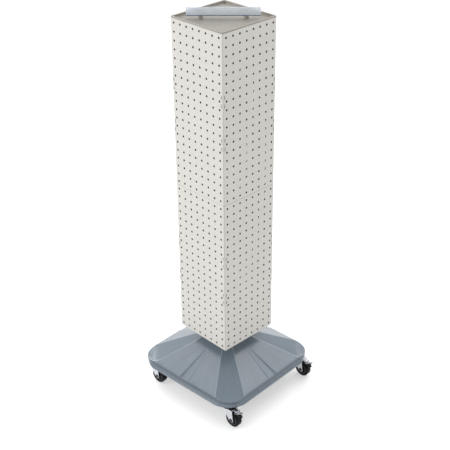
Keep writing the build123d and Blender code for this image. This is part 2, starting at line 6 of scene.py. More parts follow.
import bmesh
import bpy
import numpy as np
from mathutils import Matrix, Vector

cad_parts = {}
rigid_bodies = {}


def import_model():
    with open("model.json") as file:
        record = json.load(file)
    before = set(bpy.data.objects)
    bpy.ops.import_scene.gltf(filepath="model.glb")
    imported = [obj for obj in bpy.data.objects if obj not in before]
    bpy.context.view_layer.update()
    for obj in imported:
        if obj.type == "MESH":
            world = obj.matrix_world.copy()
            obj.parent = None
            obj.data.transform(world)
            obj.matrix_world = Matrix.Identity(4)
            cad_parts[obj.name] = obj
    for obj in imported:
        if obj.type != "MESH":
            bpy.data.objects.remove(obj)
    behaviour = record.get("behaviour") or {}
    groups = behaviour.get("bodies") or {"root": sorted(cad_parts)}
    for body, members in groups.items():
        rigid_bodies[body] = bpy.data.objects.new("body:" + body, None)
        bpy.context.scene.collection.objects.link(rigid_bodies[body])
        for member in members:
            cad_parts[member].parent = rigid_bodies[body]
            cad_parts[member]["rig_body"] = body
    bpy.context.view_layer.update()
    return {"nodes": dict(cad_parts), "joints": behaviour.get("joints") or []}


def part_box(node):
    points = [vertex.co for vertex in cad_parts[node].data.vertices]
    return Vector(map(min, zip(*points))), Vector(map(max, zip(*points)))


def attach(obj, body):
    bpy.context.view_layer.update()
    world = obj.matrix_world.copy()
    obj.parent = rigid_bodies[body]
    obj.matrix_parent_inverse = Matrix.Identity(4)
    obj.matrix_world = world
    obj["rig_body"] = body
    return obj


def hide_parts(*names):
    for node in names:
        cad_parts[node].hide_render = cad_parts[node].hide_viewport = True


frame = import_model()

# ------------------------------------------------------------------ base shell
# One blow-moulded cover of satin blue-grey plastic: four broad faces with a shallow channel each, four
# corner facets, a flat hub on top, an upright skirt and a flared lip. Screws from below hold it.
mm = 0.001
DOUBLED, BARE_EDGE, ONE_PLANE = 1e-6, 1e-7, math.radians(0.4)  # a gap, a length and an angle taken as none
MIX_FIRST, MIX_SECOND, MIX_RESULT = 6, 7, 2  # the Mix node's colour sockets, whose names other types share


def grid(rows, columns, close_rows=False, close_columns=False):
    """Corner numbers of a grid's quads, row by row: each quad joins a point, the next in its row, and the
    two below them. A closed direction joins its last line to its first."""
    r = np.arange(rows if close_rows else rows - 1)[:, None]
    c = np.arange(columns if close_columns else columns - 1)[None, :]
    r2, c2 = (r + 1) % rows, (c + 1) % columns
    quads = np.stack([r * columns + c, r * columns + c2, r2 * columns + c2, r2 * columns + c], -1)
    return quads.reshape(-1, 4)


def piece(name, points, faces, body, material, replaces=(), uv=None, smooth_angle=40,
          flatten=False):
    """An object made of points and faces that rides on a body. Doubled points are merged, which closes the
    seams and poles, and a shape whose signed volume comes out negative has its faces turned round. Flatten
    joins triangles that lie in one plane."""
    mesh = bpy.data.meshes.new(name)
    mesh.from_pydata(np.asarray(points, float).reshape(-1, 3).tolist(), [], np.asarray(faces).tolist())
    if uv is not None:
        corner = np.zeros(len(mesh.loops), np.int64)
        mesh.loops.foreach_get("vertex_index", corner)
        layer = mesh.uv_layers.new(name="face_map")
        layer.data.foreach_set("uv", np.asarray(uv, np.float32).reshape(-1, 2)[corner].ravel())
    work = bmesh.new()
    work.from_mesh(mesh)
    bmesh.ops.remove_doubles(work, verts=work.verts, dist=DOUBLED)
    bmesh.ops.dissolve_degenerate(work, edges=work.edges, dist=BARE_EDGE)
    if flatten:
        bmesh.ops.dissolve_limit(work, angle_limit=ONE_PLANE, verts=work.verts, edges=work.edges)
    if work.calc_volume(signed=True) < 0:
        bmesh.ops.reverse_faces(work, faces=work.faces)
    work.to_mesh(mesh)
    work.free()
    mesh.shade_smooth()
    mesh.set_sharp_from_angle(angle=math.radians(smooth_angle))
    mesh.materials.append(material)
    obj = bpy.data.objects.new(name, mesh)
    bpy.context.scene.collection.objects.link(obj)
    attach(obj, body)
    if replaces:
        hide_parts(*replaces)
    return obj


def soft_edges(obj, width, angle=35, steps=2):
    """Rounds every edge sharper than the angle, as a moulding's or a pressing's edges are."""
    bevel = obj.modifiers.new("edges", "BEVEL")
    bevel.width, bevel.segments = width, steps
    bevel.limit_method, bevel.angle_limit = "ANGLE", math.radians(angle)
    bevel.use_clamp_overlap = False
    bevel.harden_normals = True
    return obj


def finish_of(name, colour, roughness, metallic=0.0):
    """A new node material, its shader and its node tree."""
    material = bpy.data.materials.new(name)
    material.use_nodes = True
    shader = material.node_tree.nodes["Principled BSDF"]
    shader.inputs["Base Color"].default_value = (*colour, 1)
    shader.inputs["Roughness"].default_value = roughness
    shader.inputs["Metallic"].default_value = metallic
    return material, shader, material.node_tree


def place_socket(tree, source, stretch=(1, 1, 1)):
    """The object's own coordinates, or its face map, stretched along each axis."""
    where = tree.nodes.new("ShaderNodeTexCoord")
    mapping = tree.nodes.new("ShaderNodeMapping")
    mapping.inputs["Scale"].default_value = stretch
    tree.links.new(where.outputs[source], mapping.inputs["Vector"])
    return mapping.outputs["Vector"]


def noise(tree, where, scale, detail=2.0, rough=0.5):
    """Cloudy noise of that many lumps to the metre, from 0 to 1."""
    node = tree.nodes.new("ShaderNodeTexNoise")
    node.inputs["Scale"].default_value = scale
    node.inputs["Detail"].default_value = detail
    node.inputs["Roughness"].default_value = rough
    tree.links.new(where, node.inputs["Vector"])
    return node.outputs["Fac"]


def spread(tree, value, low, high, to_low=0.0, to_high=1.0):
    """The value's range from low to high, carried smoothly to another range."""
    node = tree.nodes.new("ShaderNodeMapRange")
    node.interpolation_type = "SMOOTHSTEP"
    for key, number in (("From Min", low), ("From Max", high), ("To Min", to_low), ("To Max", to_high)):
        node.inputs[key].default_value = number
    tree.links.new(value, node.inputs["Value"])
    return node.outputs["Result"]


def maths(tree, operation, a, b=None, c=None):
    """One sum of sockets and numbers."""
    node = tree.nodes.new("ShaderNodeMath")
    node.operation = operation
    for socket, term in zip(node.inputs, (a, b, c)):
        if isinstance(term, (int, float)):
            socket.default_value = term
        elif term is not None:
            tree.links.new(term, socket)
    return node.outputs["Value"]


def blend_colours(tree, share, first, second):
    """The first colour where the share is 0 and the second where it is 1; either may be a socket."""
    node = tree.nodes.new("ShaderNodeMix")
    node.data_type = "RGBA"
    tree.links.new(share, node.inputs["Factor"])
    for socket, colour in ((node.inputs[MIX_FIRST], first), (node.inputs[MIX_SECOND], second)):
        if isinstance(colour, tuple):
            socket.default_value = (*colour, 1)
        else:
            tree.links.new(colour, socket)
    return node.outputs[MIX_RESULT]


def relief(tree, shader, heights, distance, strength=1.0):
    """Bump from a list of (height socket, share) added up."""
    total = None
    for socket, share in heights:
        part = maths(tree, "MULTIPLY", socket, share)
        total = part if total is None else maths(tree, "ADD", total, part)
    bump = tree.nodes.new("ShaderNodeBump")
    bump.inputs["Distance"].default_value = distance
    bump.inputs["Strength"].default_value = strength
    tree.links.new(total, bump.inputs["Height"])
    tree.links.new(bump.outputs["Normal"], shader.inputs["Normal"])


def base_plastic(skirt_from, skirt_to, column, columns, ridge):
    """Satin blue-grey: cloudy colour, long flow marks down the slopes, fine grain and a few scuffs. The
    skirt, between two distances down the face map, is darkened with painted shade. Painted highlights run
    along the ridges: they run at the first column and at another one of every quarter, and a column is that
    wide on the map."""
    material, shader, tree = finish_of("satin_grey_plastic", (0.095, 0.128, 0.165), 0.3)
    around = place_socket(tree, "Object")
    down = place_socket(tree, "UV", (1.0, 0.06, 1.0))
    clouds = noise(tree, around, 9, 4)
    flow = noise(tree, down, 150, 3, 0.6)
    broad_flow = noise(tree, down, 34, 3, 0.55)
    grain = noise(tree, around, 1500, 2)
    scuffs = spread(tree, noise(tree, place_socket(tree, "UV", (1, 0.3, 1)), 420, 4, 0.7), 0.66, 0.78)
    split = tree.nodes.new("ShaderNodeSeparateXYZ")
    tree.links.new(place_socket(tree, "UV"), split.inputs[0])
    map_across, map_down = split.outputs[0], split.outputs[1]
    # Painted shade: the upright skirt below the crest is darkened in colour, down to the flare.
    below_crest = spread(tree, map_down, skirt_from, skirt_from + 1.5 * mm)
    above_flare = spread(tree, map_down, skirt_to - 3 * mm, skirt_to, 1, 0)
    skirt = maths(tree, "MULTIPLY", below_crest, above_flare)
    tone = blend_colours(tree, clouds, (0.100, 0.128, 0.156), (0.130, 0.162, 0.192))
    tone = blend_colours(tree, spread(tree, flow, 0.3, 0.75, 0, 0.3), tone, (0.165, 0.198, 0.228))
    tone = blend_colours(tree, maths(tree, "MULTIPLY", scuffs, 0.2), tone, (0.24, 0.27, 0.30))
    tone = blend_colours(tree, maths(tree, "MULTIPLY", skirt, 0.5), tone, (0.028, 0.042, 0.060))
    # Painted highlights: pale lines along the corner ridges above the skirt, as if the ridges caught the
    # light.
    quarters = maths(tree, "DIVIDE", map_across, column * columns)
    away = []
    for at in (0, ridge):
        centred = maths(tree, "FRACT", maths(tree, "ADD", quarters, 0.5 - at / columns))
        away.append(maths(tree, "ABSOLUTE", maths(tree, "SUBTRACT", centred, 0.5)))
    nearest = maths(tree, "MULTIPLY", maths(tree, "MINIMUM", *away), columns)  # in columns from a ridge
    wear_and_highlight = maths(tree, "MULTIPLY", spread(tree, nearest, 0.3, 1.5, 0.5, 0),
                   spread(tree, map_down, skirt_from - 2 * mm, skirt_from, 1, 0))
    wear_and_highlight = maths(tree, "MULTIPLY", wear_and_highlight, spread(tree, broad_flow, 0.3, 0.6, 0.55, 1.0))
    tone = blend_colours(tree, wear_and_highlight, tone, (0.46, 0.50, 0.53))
    tree.links.new(tone, shader.inputs["Base Color"])
    gloss = maths(tree, "MULTIPLY_ADD", broad_flow, 0.14, 0.17)
    gloss = maths(tree, "MULTIPLY_ADD", scuffs, 0.1, gloss)
    tree.links.new(gloss, shader.inputs["Roughness"])
    relief(tree, shader, [(grain, 0.10), (flow, 0.35), (clouds, 1.2)], 0.0006, 0.5)
    return material


def smooth_least(a, b, width):
    """The lesser of two heights, rounded over where they come within width of each other: the first has a
    share that runs from 0 to 1 there, and the mix is lowered by width times the share times its rest."""
    share = np.clip(0.5 + (b - a) / (2 * width), 0, 1)
    return b + (a - b) * share - width * share * (1 - share)


BASE_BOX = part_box("base_shell")
LIP_Z, HUB_Z = BASE_BOX[0].z, BASE_BOX[1].z
CREST_RISE, FLARE_RISE, LIP_ROLL = 25.4 * mm, 11.8 * mm, 3.2 * mm  # each above the lip's lower edge
CREST_Z, FLARE_TOP, FLARE_FOOT = LIP_Z + CREST_RISE, LIP_Z + FLARE_RISE, LIP_Z + LIP_ROLL
joints = {joint["name"]: joint for joint in frame["joints"]}
wheel_axis = joints["wheel_front"]["axis"]
BASE_TURN = math.atan2(-wheel_axis[0], wheel_axis[1])
LIP_R, LIP_REACH = 76 * mm, 6.35 * mm  # its corner radius, and how far it stands out past the skirt
LIP_HALF = (BASE_BOX[1].x - LIP_R) / (math.cos(BASE_TURN) + math.sin(BASE_TURN)) + LIP_R
SKIRT_HALF, SKIRT_R = LIP_HALF - LIP_REACH, 51 * mm
SHELL_T = 3 * mm
HUB_HALF = 56 * mm
SIDE_SLOPE = (HUB_Z - CREST_Z) / (SKIRT_HALF - HUB_HALF)
FACET_SLOPE, TOE_SLOPE, FACET_CUT = 0.460, 0.168, 66 * mm
FACET_AT = (2 * SKIRT_HALF - FACET_CUT) / math.sqrt(2)  # a facet's chord at the crest, from the axis
HUB_CUT = 2 * HUB_HALF - math.sqrt(2) * (FACET_AT - (HUB_Z - CREST_Z) / FACET_SLOPE)
CHANNEL_HALF, CHANNEL_END, CHANNEL_DEPTH = 21 * mm, 84 * mm, 2.6 * mm
CHANNEL_LOSS = 16 * mm
CHANNEL_TAPER = CHANNEL_LOSS / (SKIRT_HALF - CHANNEL_END)  # half width lost per metre inwards
CHANNEL_SIDE, LEAST_SIDE = 0.28, 0.3 * mm  # a soft side's share of the half width, and its least width
CHANNEL_FADE = 0.8  # the power by which it sinks
EDGE_SOFT, RIDGE_SOFT, HUB_SOFT, TOE_SOFT = 1.5 * mm, 0.7 * mm, 1.0 * mm, 6 * mm


def slope_height(x, y):
    """Height of the base's top over a point: the least of the four broad planes, the four facet planes and
    the hub, each pair of planes rounded where they cross; outside the crest's chord a facet falls away as
    its flatter toe; a channel sinks between soft sides by a power of the way from its end to the crest."""
    ax, ay = np.abs(x), np.abs(y)
    far, near = np.maximum(ax, ay), np.minimum(ax, ay)
    broad = CREST_Z + (SKIRT_HALF - far) * SIDE_SLOPE
    run = FACET_AT - (ax + ay) / math.sqrt(2)
    bend = TOE_SOFT * np.logaddexp(0, -run / TOE_SOFT)  # grows by one for each metre outside the chord
    facet = CREST_Z + (run + bend) * FACET_SLOPE - bend * TOE_SLOPE
    top = smooth_least(broad, facet, RIDGE_SOFT)
    half = CHANNEL_HALF - (SKIRT_HALF - far) * CHANNEL_TAPER
    side = np.clip((half - near) / np.maximum(CHANNEL_SIDE * half, LEAST_SIDE), 0, 1)
    fade = np.clip((far - CHANNEL_END) / (SKIRT_HALF - CHANNEL_END), 0, 1) ** CHANNEL_FADE
    top = top - CHANNEL_DEPTH * fade * side * side * (3 - 2 * side)
    return smooth_least(top, np.full_like(top, HUB_Z), HUB_SOFT)


BROAD_COUNTS = (4, 9, 4, 6, 4, 9, 4)  # columns between a broad face's ridges and channel edges
CORNER_STEPS, EDGE_STEPS = 26, 4  # columns round a corner, and close beside each of its two ridges
LINE_GAP, LEAST_CHANNEL = 4.0 * mm, 0.5 * mm  # from a ridge to its last close line, and a half width


def quarter_lines(half, cut, radius, steps):
    """Points along one quarter of an outline on -Y, then round its corner at +X -Y: the broad face from
    ridge to ridge with lines close beside each ridge and each channel edge, then the corner from ridge to
    ridge along straight, arc and straight by its length. With no radius the corner is one straight cut."""
    reach = half - cut
    gap = LINE_GAP
    channel = max(CHANNEL_HALF - (SKIRT_HALF - half) * CHANNEL_TAPER, LEAST_CHANNEL)
    beside, within = channel * 1.04, channel * 0.8
    stops = np.array([-reach, -reach + gap, -beside, -within, within, beside, reach - gap, reach])
    spans = zip(stops, stops[1:], BROAD_COUNTS)
    x = np.concatenate([np.linspace(a, b, n, endpoint=False) for a, b, n in spans])
    broad = np.stack([x, np.full_like(x, -half)], -1)
    if radius <= 0:
        length = cut * math.sqrt(2)
    else:
        length = 2 * (cut - radius) + radius * math.pi / 2
    edge = np.linspace(0, gap, EDGE_STEPS, endpoint=False)
    along = np.concatenate([edge, np.linspace(gap, length - gap, steps, endpoint=False), length - gap + edge])
    if radius <= 0:
        corner = np.array([reach, -half]) + along[:, None] / math.sqrt(2)
        return np.concatenate([broad, corner])
    straight = cut - radius
    turn = np.clip((along - straight) / radius, 0, math.pi / 2)
    after = np.clip(along - straight - radius * math.pi / 2, 0, None)
    cx = reach + np.minimum(along, straight) + radius * np.sin(turn)
    cy = -half + radius * (1 - np.cos(turn)) + after
    return np.concatenate([broad, np.stack([cx, cy], -1)])


def round_four(quarter):
    """A quarter's points followed by the same turned three times, anticlockwise."""
    x, y = quarter[..., 0], quarter[..., 1]
    turned = [np.stack(p, -1) for p in ((x, y), (-y, x), (-x, -y), (y, -x))]
    return np.concatenate(turned, -2)


def turn_base(points):
    """Points carried round by the base's turn under the tower."""
    c, s = math.cos(BASE_TURN), math.sin(BASE_TURN)
    return np.asarray(points) @ np.array([[c, s, 0], [-s, c, 0], [0, 0, 1]])


hub_line = round_four(quarter_lines(HUB_HALF, HUB_CUT, 0, CORNER_STEPS))
crest_line = round_four(quarter_lines(SKIRT_HALF, FACET_CUT, SKIRT_R, CORNER_STEPS))
lip_line = round_four(quarter_lines(LIP_HALF, FACET_CUT + (LIP_R - SKIRT_R), LIP_R, CORNER_STEPS))
rounds = len(hub_line)


def with_height(plan, z):
    """Plan points with their heights."""
    return np.concatenate([plan, np.broadcast_to(z, plan.shape[:-1])[..., None]], -1)


def inset(line, distance):
    """A closed line moved towards the axis by that distance along its own inward normal, which is square to
    the run from the point before to the point after."""
    step = np.roll(line, -1, 0) - np.roll(line, 1, 0)
    inward = np.stack([-step[:, 1], step[:, 0]], -1)
    inward /= np.linalg.norm(inward, axis=1, keepdims=True)
    return line + inward * distance


HUB_SHARES = (0.0, 0.5, 0.85, 0.95)  # from the axis to the hub's outline
SLOPE_SHARES = np.concatenate([[0, 0.006, 0.012, 0.02, 0.035, 0.06], np.linspace(0.09, 0.97, 30), [1.0]])
hub_rows = [with_height(hub_line * share, HUB_Z) for share in HUB_SHARES]
edge_line = inset(crest_line, EDGE_SOFT)
top_rows = []
for share in SLOPE_SHARES:
    plan = hub_line * (1 - share) + edge_line * share
    top_rows.append(with_height(plan, slope_height(plan[:, 0], plan[:, 1])))
crest_z = slope_height(crest_line[:, 0], crest_line[:, 1])
edge_z = top_rows[-1][:, 2]
edge_rows = []
for t in (0.2, 0.4, 0.6, 0.8, 1.0):  # a quadratic curve over the crest's edge, from the slope to the skirt
    blend = (1 - t) ** 2 * edge_line + (1 - (1 - t) ** 2) * crest_line
    height = (1 - t) ** 2 * edge_z + 2 * t * (1 - t) * crest_z + t * t * (crest_z - EDGE_SOFT)
    edge_rows.append(with_height(blend, height))
BELOW_CREST, ABOVE_FLARE, SKIRT_STEPS = 4.5 * mm, 1.0 * mm, 5
skirt_levels = np.linspace(CREST_Z - BELOW_CREST, FLARE_TOP + ABOVE_FLARE, SKIRT_STEPS)
skirt_rows = [with_height(crest_line, z) for z in skirt_levels]
# The flare's reach is an arc up to a share of its radius, with a gain, mixed with a straight slant.
FLARE_ARC, FLARE_GAIN, FLARE_SLANT = 0.94, 1.06, 0.35
flare_rows = []
for t in np.linspace(0, 1, 9)[1:]:
    out = 1 - math.sqrt(1 - (t * FLARE_ARC) ** 2) if t < 1 else 1.0
    out = min(out * FLARE_GAIN, 1.0) * (1 - FLARE_SLANT) + FLARE_SLANT * t
    z = FLARE_TOP + (FLARE_FOOT - FLARE_TOP) * t
    flare_rows.append(with_height(crest_line * (1 - out) + lip_line * out, z))
# The lip's lower edge, as (inset, height) in mm from its outer wall round to the inside.
LIP_ROUND = ((0, 2.2), (0, 1.0), (0.3, 0.3), (1.0, 0), (2.0, 0), (2.8, 0.2), (3.0, 0.8))
lip_edge = [with_height(inset(lip_line, depth * mm), LIP_Z + z * mm) for depth, z in LIP_ROUND]
INNER_DROP = 6.0 * mm  # from the crest down to where the inner wall leaves the skirt
inner_rows = [with_height(inset(crest_line, SHELL_T), z) for z in (FLARE_TOP, CREST_Z - INNER_DROP)]
for share in (1.0, 0.8, 0.6, 0.4, 0.2, 0.0):
    plan = hub_line * (1 - share) + inset(crest_line, SHELL_T + EDGE_SOFT) * share
    fall = SHELL_T * math.hypot(1, SIDE_SLOPE) + CHANNEL_DEPTH * share * 0.5
    inner_rows.append(with_height(plan, slope_height(plan[:, 0], plan[:, 1]) - fall))
inner_rows.append(with_height(hub_line * 0.0, HUB_Z - SHELL_T * math.hypot(1, SIDE_SLOPE)))
shell_rows = np.array(hub_rows + top_rows + edge_rows + skirt_rows + flare_rows + lip_edge + inner_rows)
across = np.linspace(0, 4 * 2 * SKIRT_HALF, rounds)
step_down = np.linalg.norm(np.diff(shell_rows, axis=0), axis=2).mean(1)
down = np.concatenate([[0], np.cumsum(step_down)])
shell_uv = np.stack(np.broadcast_arrays(across[None, :], down[:, None]), -1)
skirt_row = len(hub_rows + top_rows + edge_rows)
satin_grey = base_plastic(down[skirt_row - 1], down[skirt_row + len(skirt_rows)], across[1], rounds // 4,
                          sum(BROAD_COUNTS))
piece("base_cover", turn_base(shell_rows), grid(len(shell_rows), rounds, close_columns=True), "base",
      satin_grey, ["base_shell"], uv=shell_uv, smooth_angle=60)

# ------------------------------------------------------------------ board under the base
# A black-faced fibreboard panel closes the base and carries the casters; pan-head screws run up through it
# into the shell, and a steel socket for each caster's stem passes through it.


def skin_of(node):
    """A CAD node's own points and triangles."""
    mesh = frame["nodes"][node].data
    points, corner = np.zeros(3 * len(mesh.vertices)), np.zeros(len(mesh.loops), np.int64)
    mesh.vertices.foreach_get("co", points)
    mesh.loops.foreach_get("vertex_index", corner)
    return points.reshape(-1, 3), corner.reshape(-1, 3)


def dressed(node, name, material, width, angle=35):
    """The CAD node's shape as one joined skin with its edges softened; it stands for the node."""
    points, triangles = skin_of(node)
    body = frame["nodes"][node]["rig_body"]
    obj = piece(name, points, triangles, body, material, [node], smooth_angle=30, flatten=True)
    return soft_edges(obj, width, angle) if width else obj


def fibreboard():
    """Black melamine face: fine pebble and faint worn patches."""
    material, shader, tree = finish_of("black_fibreboard", (0.03, 0.03, 0.032), 0.5)
    around = place_socket(tree, "Object")
    wear_and_highlight = spread(tree, noise(tree, around, 22, 5, 0.65), 0.52, 0.75, 0, 0.5)
    tree.links.new(blend_colours(tree, wear_and_highlight, (0.022, 0.022, 0.024), (0.06, 0.06, 0.062)),
                   shader.inputs["Base Color"])
    tree.links.new(spread(tree, wear_and_highlight, 0, 0.5, 0.42, 0.62), shader.inputs["Roughness"])
    relief(tree, shader, [(noise(tree, around, 900, 3), 1.0)], 0.0003, 0.5)
    return material


def plated_steel(name, colour, low, high, grain):
    """Plated or bright steel: cloudy tint, small dull spots, and noise drawn out along Z as its grain."""
    material, shader, tree = finish_of(name, colour, low, 1.0)
    around = place_socket(tree, "Object")
    tint = noise(tree, around, 60, 4, 0.6)
    darker = tuple(c * 0.8 for c in colour)
    spots = spread(tree, noise(tree, around, 380, 4, 0.7), 0.62, 0.74, 0, 0.6)
    tone = blend_colours(tree, tint, darker, colour)
    tone = blend_colours(tree, spots, tone, tuple(c * 0.55 for c in colour))
    tree.links.new(tone, shader.inputs["Base Color"])
    drawn = noise(tree, place_socket(tree, "Object", (1, 1, 0.05)), 1400, 3, 0.6)
    tree.links.new(spread(tree, drawn, 0.2, 0.8, low, high), shader.inputs["Roughness"])
    relief(tree, shader, [(drawn, grain), (tint, 0.4)], 0.0003, 0.4)
    return material


zinc = plated_steel("bright_zinc", (0.70, 0.71, 0.75), 0.22, 0.42, 0.5)
dressed("base_board", "base_underboard", fibreboard(), 1.0 * mm)
for node, name in (("board_screws", "underboard_screws"), ("stem_sockets", "caster_sockets")):
    dressed(node, name, zinc, 0.35 * mm)

# ------------------------------------------------------------------ casters
# Four 50 mm twin-shoulder casters. A riveted steel stem holds a pressed fork under a black nylon dust ring;
# a soft black tyre sits on a nylon core that turns on a bolt, and a foot pedal swings a rubber shoe at it.
TRAIL = 22.9 * mm  # from the swivel axis back to the axle
WHEEL_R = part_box("caster_front_tyre")[1].z / 2
CASTERS = ("front", "left", "right", "back")


def black_nylon():
    """Moulded black nylon: fine spark texture and slightly greyed high spots."""
    material, shader, tree = finish_of("black_nylon", (0.012, 0.013, 0.016), 0.42)
    around = place_socket(tree, "Object")
    worn = spread(tree, noise(tree, around, 140, 4, 0.65), 0.5, 0.72, 0, 0.5)
    tree.links.new(blend_colours(tree, worn, (0.005, 0.006, 0.008), (0.018, 0.020, 0.024)),
                   shader.inputs["Base Color"])
    tree.links.new(spread(tree, worn, 0, 0.5, 0.34, 0.5), shader.inputs["Roughness"])
    relief(tree, shader, [(noise(tree, around, 1800, 2), 1.0)], 0.0002, 0.4)
    return material


def soft_rubber():
    """Soft black tread: a matt skin with a rolled dusty band and tiny pits."""
    material, shader, tree = finish_of("soft_rubber", (0.004, 0.005, 0.007), 0.5)
    around = place_socket(tree, "Object")
    dust = spread(tree, noise(tree, around, 210, 5, 0.7), 0.6, 0.85, 0, 0.3)
    tree.links.new(blend_colours(tree, dust, (0.002, 0.003, 0.005), (0.014, 0.015, 0.018)),
                   shader.inputs["Base Color"])
    tree.links.new(spread(tree, dust, 0, 0.3, 0.4, 0.6), shader.inputs["Roughness"])
    shader.inputs["Specular IOR Level"].default_value = 0.12
    relief(tree, shader, [(noise(tree, around, 1100, 3), 1.0)], 0.0003, 0.5)
    return material


def rounded_outline(corners, radii, steps=6):
    """A closed outline with each corner rounded by an arc of its radius: a rational quadratic curve from
    tangent point to tangent point whose middle weight is the cosine of half the turn. Millimetres in."""
    p = np.asarray(corners, float) * mm
    back, on = np.roll(p, 1, 0) - p, np.roll(p, -1, 0) - p
    back /= np.linalg.norm(back, axis=1, keepdims=True)
    on /= np.linalg.norm(on, axis=1, keepdims=True)
    half_turn = (np.pi - np.arccos(np.clip((back * on).sum(1), -1, 1))) / 2
    reach = (np.broadcast_to(radii, half_turn.shape) * mm * np.tan(half_turn))[:, None]
    t = np.linspace(0, 1, steps)[None, :, None]
    a, b, c = (1 - t) ** 2, 2 * np.cos(half_turn)[:, None, None] * t * (1 - t), t ** 2
    curve = a * (p + back * reach)[:, None] + b * p[:, None] + c * (p + on * reach)[:, None]
    return (curve / (a + b + c)).reshape(-1, 2)


def lathe(outline, steps):
    """A closed outline of (radius, height) turned about Z: at angle a it stands at (r cos a, r sin a)."""
    a = np.linspace(0, 2 * np.pi, steps, endpoint=False)[:, None]
    r, z = outline[None, :, 0], outline[None, :, 1]
    points = np.stack(np.broadcast_arrays(r * np.cos(a), r * np.sin(a), z), -1)
    return points.reshape(-1, 3), grid(steps, len(outline), close_rows=True, close_columns=True)


def joined(parts):
    """Several (points, faces) shapes as one; every face list is made of quads."""
    sizes = np.cumsum([0] + [len(points) for points, _ in parts])
    faces = [f + start for (_, f), start in zip(parts, sizes)]
    return np.concatenate([p for p, _ in parts]), np.concatenate(faces)


def on_axle(shape, x=TRAIL, z=WHEEL_R):
    """A shape made about Z laid across the caster, with its own Z along the axle."""
    points, faces = shape
    return points[:, [0, 2, 1]] + np.array([x, 0, z]), faces


def at_caster(shape, name):
    """A shape made about a swivel axis carried to that caster: turned with the base, then moved there."""
    points, faces = shape
    x, y, _ = joints[f"swivel_{name}"]["pos_m"]
    return turn_base(points) + np.array([x, y, 0]), faces


def hexagon_nut(across, low, high):
    """A six-sided nut about Z: its radius at an angle is the flat's distance over the cosine of the angle
    from the flat's middle, held within a circle at both faces so that the corners are chamfered."""
    steps, chamfer = 48, 0.5
    levels = np.array([low, low, low + chamfer, high - chamfer, high, high]) * mm
    limits = np.array([0.62, 1.04, 1.2, 1.2, 1.04, 0.62]) * across / 2 * mm
    a = np.linspace(0, 2 * np.pi, steps, endpoint=False)[:, None]
    flat = across / 2 * mm / np.cos((a + np.pi / 6) % (np.pi / 3) - np.pi / 6)
    r = np.minimum(flat, limits[None])
    points = np.stack(np.broadcast_arrays(r * np.cos(a), r * np.sin(a), levels[None]), -1)
    return points.reshape(-1, 3), grid(steps, len(levels), close_rows=True, close_columns=True)


# Outlines in mm as (radius, place along the axis), each followed by the radius of every corner.
TYRE = rounded_outline(
    [(17.5, -9.9), (22.0, -10), (24.9, -8.6), (24.9, -7.9), (25.4, -7.5),
     (25.4, 7.5), (24.9, 7.9), (24.9, 8.6), (22.0, 10), (17.5, 9.9)],
    [0.3, 2.2, 0.3, 0.15, 0.5, 0.5, 0.15, 0.3, 2.2, 0.3], 5)
DUST_RING = rounded_outline(
    [(5.1, 62.7), (16.2, 62.7), (19.0, 64.4), (19.0, 66.2), (18.4, 66.6),
     (18.4, 67.0), (19.0, 67.4), (19.0, 69.5), (5.1, 69.5)],
    [0.1, 1.0, 1.0, 0.2, 0.15, 0.15, 0.2, 0.5, 0.1], 4)
BOLT = rounded_outline(
    [(0.001, -16.6), (4.6, -16.3), (6.5, -14.9), (6.5, -14.2), (3.95, -14.2), (3.95, 18.4), (3.2, 19.2),
     (0.001, 19.2)], [0.0005, 1.6, 0.3, 0.2, 0.2, 0.3, 0.2, 0.0005], 5)
BRAKE_RIVET = rounded_outline(
    [(0.001, -11.4), (2.4, -11.1), (3.1, -10.6), (2.0, -10.5), (2.0, 10.5), (3.1, 10.6), (2.4, 11.1),
     (0.001, 11.4)], [0.0005, 0.5, 0.1, 0.05, 0.05, 0.1, 0.5, 0.0005], 4)


def wheel_core():
    """The nylon core: its face sinks between hub and rim by a well in radius times a well in angle, which
    leaves six radial ribs standing, and the bore runs through."""
    steps, ribs, well_depth = 144, 6, 4.6 * mm
    well_half, well_side = 0.84, 0.12  # of the way from a well's middle to a rib's
    a = np.linspace(0, 2 * np.pi, steps, endpoint=False)[:, None]
    face_r = np.array([4.05, 4.3, 7.6, 7.9, 8.4, 14.4, 14.9, 15.2, 17.3, 17.5]) * mm
    well = np.array([0, 0, 0, 0.25, 1, 1, 0.25, 0, 0, 0])
    from_middle = np.abs((a * ribs / (2 * np.pi)) % 1 - 0.5) * 2
    gap = np.clip((well_half - from_middle) / well_side, 0, 1)
    drop = well_depth * well[None] * gap * gap * (3 - 2 * gap)
    crown = np.array([9.1, 9.5, 9.5, 9.4, 9.2, 9.2, 9.4, 9.5, 9.5, 9.2]) * mm
    height = np.concatenate([-(crown - drop), (crown - drop)[:, ::-1]], 1)
    r = np.concatenate([face_r, face_r[::-1]])[None]
    points = np.stack(np.broadcast_arrays(r * np.cos(a), r * np.sin(a), height), -1)
    return points.reshape(-1, 3), grid(steps, 2 * len(face_r), close_rows=True, close_columns=True)


